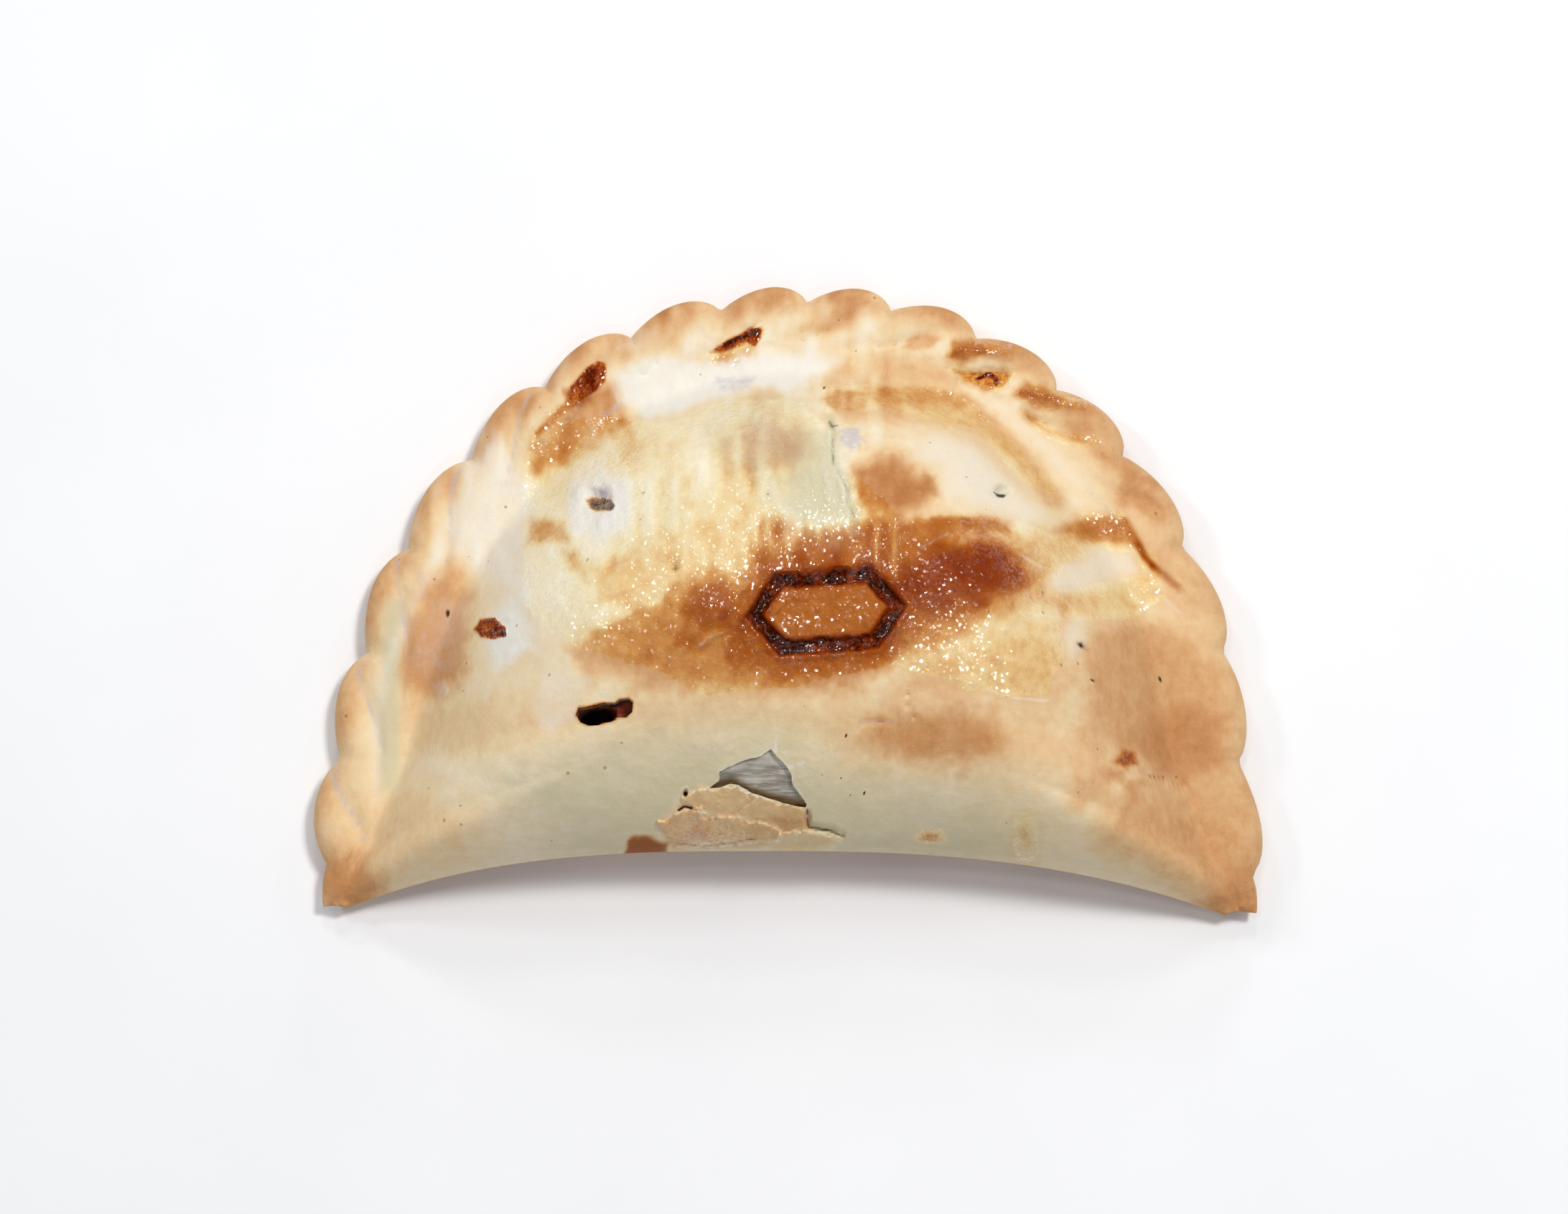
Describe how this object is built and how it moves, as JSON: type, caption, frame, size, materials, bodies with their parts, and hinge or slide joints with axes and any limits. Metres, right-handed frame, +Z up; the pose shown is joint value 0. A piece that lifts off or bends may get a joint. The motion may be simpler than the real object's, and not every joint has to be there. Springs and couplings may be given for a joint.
{
  "type": "empanada",
  "caption": "Baked half-moon pastry with a hand-twisted rope edge, a smooth folded side and a tear that shows its filling.",
  "frame": {"origin": "middle of the footprint's box, on the plane of the baked side that it lies on", "axes": "+X from the left horn to the right horn, +Y from the folded side to the twisted edge, +Z up through the crown"},
  "size_m": [0.1292, 0.0864, 0.0336],
  "materials": {
    "crust": "egg-washed baked dough, golden to brown, scorched in places",
    "filling": "moist cooked filling, grey-beige"
  },
  "bodies": {
    "root": {"crust": "crust", "filling": "filling"}
  },
  "joints": []
}
